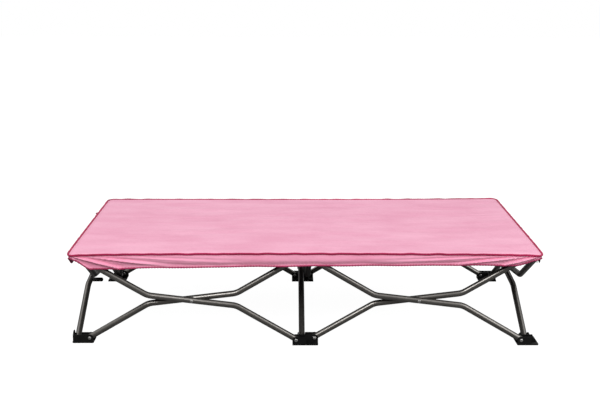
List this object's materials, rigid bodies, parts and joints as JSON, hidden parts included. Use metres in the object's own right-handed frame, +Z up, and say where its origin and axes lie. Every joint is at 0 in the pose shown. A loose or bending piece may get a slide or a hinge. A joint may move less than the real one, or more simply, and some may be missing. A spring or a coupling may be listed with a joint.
{
  "type": "folding cot",
  "caption": "Low folding cot: scissor frame of bent steel tubes on plastic feet, with a taut fabric top and a fitted sheet.",
  "frame": {"origin": "centre of the footprint on the floor, cot open", "axes": "+X along the cot, +Y from the front long side to the back one, +Z up"},
  "size_m": [1.2322, 0.6292, 0.2491],
  "materials": {
    "tube_steel": "satin dark grey paint",
    "black_plastic": "moulded black",
    "rivet_steel": "plain rivet",
    "sling_cloth": "plain weave, light pink",
    "sheet_skirt": "plain weave, pink"
  },
  "bodies": {
    "foot_front_centre": {"foot_front_centre": "black_plastic", "rivets_front_centre": "rivet_steel"},
    "foot_front_left": {"foot_front_left": "black_plastic", "rivets_front_left": "rivet_steel"},
    "foot_front_right": {"foot_front_right": "black_plastic", "rivets_front_right": "rivet_steel"},
    "foot_back_left": {"foot_back_left": "black_plastic", "rivets_back_left": "rivet_steel"},
    "foot_back_centre": {"foot_back_centre": "black_plastic", "rivets_back_centre": "rivet_steel"},
    "foot_back_right": {"foot_back_right": "black_plastic", "rivets_back_right": "rivet_steel"},
    "hub_front_left": {"hub_front_left": "black_plastic", "sling_rim_left": "sling_cloth", "skirt_left": "sheet_skirt"},
    "hub_front_centre": {"hub_front_centre": "black_plastic", "sling_rim_front": "sling_cloth", "sling_rim_middle": "sling_cloth", "skirt_front": "sheet_skirt"},
    "hub_front_right": {"hub_front_right": "black_plastic"},
    "hub_back_left": {"hub_back_left": "black_plastic"},
    "hub_back_centre": {"hub_back_centre": "black_plastic", "sling_rim_back": "sling_cloth", "skirt_back": "sheet_skirt"},
    "hub_back_right": {"hub_back_right": "black_plastic", "sling_rim_right": "sling_cloth", "skirt_right": "sheet_skirt"},
    "tube_front_left_fall": {"tube_front_left_fall": "tube_steel", "pivot_front_left": "rivet_steel"},
    "tube_front_left_rise": {"tube_front_left_rise": "tube_steel"},
    "tube_front_right_rise": {"tube_front_right_rise": "tube_steel", "pivot_front_right": "rivet_steel"},
    "tube_front_right_fall": {"tube_front_right_fall": "tube_steel"},
    "tube_back_left_fall": {"tube_back_left_fall": "tube_steel", "pivot_back_left": "rivet_steel"},
    "tube_back_left_rise": {"tube_back_left_rise": "tube_steel"},
    "tube_back_right_rise": {"tube_back_right_rise": "tube_steel", "pivot_back_right": "rivet_steel"},
    "tube_back_right_fall": {"tube_back_right_fall": "tube_steel"},
    "tube_cross_left_rise": {"tube_cross_left_rise": "tube_steel", "pivot_cross_left": "rivet_steel", "peg_left": "black_plastic"},
    "tube_cross_left_fall": {"tube_cross_left_fall": "tube_steel"},
    "tube_cross_centre_rise": {"tube_cross_centre_rise": "tube_steel", "pivot_cross_centre": "rivet_steel"},
    "tube_cross_centre_fall": {"tube_cross_centre_fall": "tube_steel"},
    "tube_cross_right_rise": {"tube_cross_right_rise": "tube_steel", "pivot_cross_right": "rivet_steel"},
    "tube_cross_right_fall": {"tube_cross_right_fall": "tube_steel", "peg_right": "black_plastic"},
    "sling_left_front": {"sling_left_front": "sling_cloth"},
    "sling_left_back": {"sling_left_back": "sling_cloth"},
    "sling_left_outer": {"sling_left_outer": "sling_cloth"},
    "sling_left_inner": {"sling_left_inner": "sling_cloth"},
    "sling_right_front": {"sling_right_front": "sling_cloth"},
    "sling_right_back": {"sling_right_back": "sling_cloth"},
    "sling_right_outer": {"sling_right_outer": "sling_cloth"},
    "sling_right_inner": {"sling_right_inner": "sling_cloth"}
  },
  "joints": [
    {"name": "fold", "type": "hinge", "parent": "foot_front_centre", "child": "tube_front_left_fall", "pos_m": [-0.0245, -0.2995, 0.014], "axis": [0, 1, 0], "range_deg": [0, 60.56], "deforming": ["sling_rim_left", "skirt_left", "sling_rim_front", "sling_rim_middle", "skirt_front", "sling_rim_back", "skirt_back", "sling_rim_right", "skirt_right", "sling_left_front", "sling_left_back", "sling_left_outer", "sling_left_inner", "sling_right_front", "sling_right_back", "sling_right_outer", "sling_right_inner"]},
    {"name": "hub_front_left_pin", "type": "hinge", "parent": "tube_front_left_fall", "child": "hub_front_left", "pos_m": [-0.5695, -0.2995, 0.228], "axis": [0, 1, 0], "range_deg": [-61.06, 0.5]},
    {"name": "foot_front_centre_pin_right", "type": "hinge", "parent": "foot_front_centre", "child": "tube_front_right_rise", "pos_m": [0.0245, -0.2815, 0.014], "axis": [0, 1, 0], "range_deg": [-61.06, 0.5]},
    {"name": "hub_front_right_pin", "type": "hinge", "parent": "tube_front_right_rise", "child": "hub_front_right", "pos_m": [0.5695, -0.2815, 0.228], "axis": [0, 1, 0], "range_deg": [-0.5, 61.06]},
    {"name": "cross_front_left", "type": "hinge", "parent": "tube_front_left_fall", "child": "tube_front_left_rise", "pos_m": [-0.297, -0.2905, 0.121], "axis": [0, 1, 0], "range_deg": [-121.62, 0.5]},
    {"name": "foot_front_left_pin", "type": "hinge", "parent": "tube_front_left_rise", "child": "foot_front_left", "pos_m": [-0.5695, -0.2815, 0.014], "axis": [0, 1, 0], "range_deg": [-0.5, 61.06]},
    {"name": "cross_front_right", "type": "hinge", "parent": "tube_front_right_rise", "child": "tube_front_right_fall", "pos_m": [0.297, -0.2905, 0.121], "axis": [0, 1, 0], "range_deg": [-0.5, 121.62]},
    {"name": "foot_front_right_pin", "type": "hinge", "parent": "tube_front_right_fall", "child": "foot_front_right", "pos_m": [0.5695, -0.2995, 0.014], "axis": [0, 1, 0], "range_deg": [-61.06, 0.5]},
    {"name": "foot_front_centre_leg", "type": "hinge", "parent": "foot_front_centre", "child": "tube_cross_centre_rise", "pos_m": [-0.009, -0.2725, 0.014], "axis": [1, 0, 0], "range_deg": [-0.5, 61.06]},
    {"name": "hub_back_centre_leg", "type": "hinge", "parent": "tube_cross_centre_rise", "child": "hub_back_centre", "pos_m": [-0.009, 0.2725, 0.228], "axis": [1, 0, 0], "range_deg": [-61.06, 0.5]},
    {"name": "cross_centre", "type": "hinge", "parent": "tube_cross_centre_rise", "child": "tube_cross_centre_fall", "pos_m": [0, 0, 0.121], "axis": [1, 0, 0], "range_deg": [-121.62, 0.5]},
    {"name": "foot_back_centre_leg", "type": "hinge", "parent": "tube_cross_centre_fall", "child": "foot_back_centre", "pos_m": [0.009, 0.2725, 0.014], "axis": [1, 0, 0], "range_deg": [-0.5, 61.06]},
    {"name": "hub_front_centre_leg", "type": "hinge", "parent": "tube_cross_centre_fall", "child": "hub_front_centre", "pos_m": [0.009, -0.2725, 0.228], "axis": [1, 0, 0], "range_deg": [-0.5, 61.06]},
    {"name": "foot_front_left_leg", "type": "hinge", "parent": "foot_front_left", "child": "tube_cross_left_rise", "pos_m": [-0.603, -0.2725, 0.014], "axis": [1, 0, 0], "range_deg": [-0.5, 61.06]},
    {"name": "hub_back_left_leg", "type": "hinge", "parent": "tube_cross_left_rise", "child": "hub_back_left", "pos_m": [-0.603, 0.2725, 0.228], "axis": [1, 0, 0], "range_deg": [-61.06, 0.5]},
    {"name": "hub_front_left_leg", "type": "hinge", "parent": "hub_front_left", "child": "tube_cross_left_fall", "pos_m": [-0.585, -0.2725, 0.228], "axis": [1, 0, 0], "range_deg": [-61.06, 0.5]},
    {"name": "foot_back_left_leg", "type": "hinge", "parent": "tube_cross_left_fall", "child": "foot_back_left", "pos_m": [-0.585, 0.2725, 0.014], "axis": [1, 0, 0], "range_deg": [-0.5, 61.06]},
    {"name": "foot_front_right_leg", "type": "hinge", "parent": "foot_front_right", "child": "tube_cross_right_rise", "pos_m": [0.585, -0.2725, 0.014], "axis": [1, 0, 0], "range_deg": [-0.5, 61.06]},
    {"name": "hub_back_right_leg", "type": "hinge", "parent": "tube_cross_right_rise", "child": "hub_back_right", "pos_m": [0.585, 0.2725, 0.228], "axis": [1, 0, 0], "range_deg": [-61.06, 0.5]},
    {"name": "hub_front_right_leg", "type": "hinge", "parent": "hub_front_right", "child": "tube_cross_right_fall", "pos_m": [0.603, -0.2725, 0.228], "axis": [1, 0, 0], "range_deg": [-61.06, 0.5]},
    {"name": "foot_back_right_leg", "type": "hinge", "parent": "tube_cross_right_fall", "child": "foot_back_right", "pos_m": [0.603, 0.2725, 0.014], "axis": [1, 0, 0], "range_deg": [-0.5, 61.06]},
    {"name": "foot_back_centre_pin_left", "type": "hinge", "parent": "foot_back_centre", "child": "tube_back_left_fall", "pos_m": [-0.0245, 0.2815, 0.014], "axis": [0, 1, 0], "range_deg": [-0.5, 61.06]},
    {"name": "foot_back_centre_pin_right", "type": "hinge", "parent": "foot_back_centre", "child": "tube_back_right_rise", "pos_m": [0.0245, 0.2995, 0.014], "axis": [0, 1, 0], "range_deg": [-61.06, 0.5]},
    {"name": "hub_back_centre_pin_left", "type": "hinge", "parent": "hub_back_centre", "child": "tube_back_left_rise", "pos_m": [-0.0245, 0.2995, 0.228], "axis": [0, 1, 0], "range_deg": [-61.06, 0.5]},
    {"name": "hub_back_centre_pin_right", "type": "hinge", "parent": "hub_back_centre", "child": "tube_back_right_fall", "pos_m": [0.0245, 0.2815, 0.228], "axis": [0, 1, 0], "range_deg": [-0.5, 61.06]},
    {"name": "flap_left_front", "type": "hinge", "parent": "hub_front_centre", "child": "sling_left_front", "pos_m": [-0.297, -0.262, 0.2467], "axis": [1, 0, 0], "range_deg": [-83.87, 0.5]},
    {"name": "flap_right_front", "type": "hinge", "parent": "hub_front_centre", "child": "sling_right_front", "pos_m": [0.297, -0.262, 0.2467], "axis": [1, 0, 0], "range_deg": [-83.87, 0.5]},
    {"name": "flap_left_back", "type": "hinge", "parent": "hub_back_centre", "child": "sling_left_back", "pos_m": [-0.297, 0.262, 0.2467], "axis": [1, 0, 0], "range_deg": [-0.5, 83.87]},
    {"name": "flap_right_back", "type": "hinge", "parent": "hub_back_centre", "child": "sling_right_back", "pos_m": [0.297, 0.262, 0.2467], "axis": [1, 0, 0], "range_deg": [-0.5, 83.87]},
    {"name": "flap_left_outer", "type": "hinge", "parent": "hub_front_left", "child": "sling_left_outer", "pos_m": [-0.557, 0, 0.2467], "axis": [0, 1, 0], "range_deg": [-0.5, 84.26]},
    {"name": "flap_left_inner", "type": "hinge", "parent": "hub_front_centre", "child": "sling_left_inner", "pos_m": [-0.037, 0, 0.2467], "axis": [0, 1, 0], "range_deg": [-84.26, 0.5]},
    {"name": "flap_right_inner", "type": "hinge", "parent": "hub_back_centre", "child": "sling_right_inner", "pos_m": [0.037, 0, 0.2467], "axis": [0, 1, 0], "range_deg": [-0.5, 84.26]},
    {"name": "flap_right_outer", "type": "hinge", "parent": "hub_back_right", "child": "sling_right_outer", "pos_m": [0.557, 0, 0.2467], "axis": [0, 1, 0], "range_deg": [-84.26, 0.5]}
  ],
  "couplings": [
    {"joint": "hub_front_left_pin", "follows": "fold", "ratio": -1},
    {"joint": "foot_front_centre_pin_right", "follows": "fold", "ratio": -1},
    {"joint": "hub_front_right_pin", "follows": "fold", "ratio": 1},
    {"joint": "cross_front_left", "follows": "fold", "ratio": -2},
    {"joint": "foot_front_left_pin", "follows": "fold", "ratio": 1},
    {"joint": "cross_front_right", "follows": "fold", "ratio": 2},
    {"joint": "foot_front_right_pin", "follows": "fold", "ratio": -1},
    {"joint": "foot_front_centre_leg", "follows": "fold", "ratio": 1},
    {"joint": "hub_back_centre_leg", "follows": "fold", "ratio": -1},
    {"joint": "cross_centre", "follows": "fold", "ratio": -2},
    {"joint": "foot_back_centre_leg", "follows": "fold", "ratio": 1},
    {"joint": "hub_front_centre_leg", "follows": "fold", "ratio": 1},
    {"joint": "foot_front_left_leg", "follows": "fold", "ratio": 1},
    {"joint": "hub_back_left_leg", "follows": "fold", "ratio": -1},
    {"joint": "hub_front_left_leg", "follows": "fold", "ratio": -1},
    {"joint": "foot_back_left_leg", "follows": "fold", "ratio": 1},
    {"joint": "foot_front_right_leg", "follows": "fold", "ratio": 1},
    {"joint": "hub_back_right_leg", "follows": "fold", "ratio": -1},
    {"joint": "hub_front_right_leg", "follows": "fold", "ratio": -1},
    {"joint": "foot_back_right_leg", "follows": "fold", "ratio": 1},
    {"joint": "foot_back_centre_pin_left", "follows": "fold", "ratio": 1},
    {"joint": "foot_back_centre_pin_right", "follows": "fold", "ratio": -1},
    {"joint": "hub_back_centre_pin_left", "follows": "fold", "ratio": -1},
    {"joint": "hub_back_centre_pin_right", "follows": "fold", "ratio": 1},
    {"joint": "flap_left_front", "follows": "fold", "ratio": -1.3766},
    {"joint": "flap_right_front", "follows": "fold", "ratio": -1.3766},
    {"joint": "flap_left_back", "follows": "fold", "ratio": 1.3766},
    {"joint": "flap_right_back", "follows": "fold", "ratio": 1.3766},
    {"joint": "flap_left_outer", "follows": "fold", "ratio": 1.3831},
    {"joint": "flap_left_inner", "follows": "fold", "ratio": -1.3831},
    {"joint": "flap_right_inner", "follows": "fold", "ratio": 1.3831},
    {"joint": "flap_right_outer", "follows": "fold", "ratio": -1.3831}
  ]
}
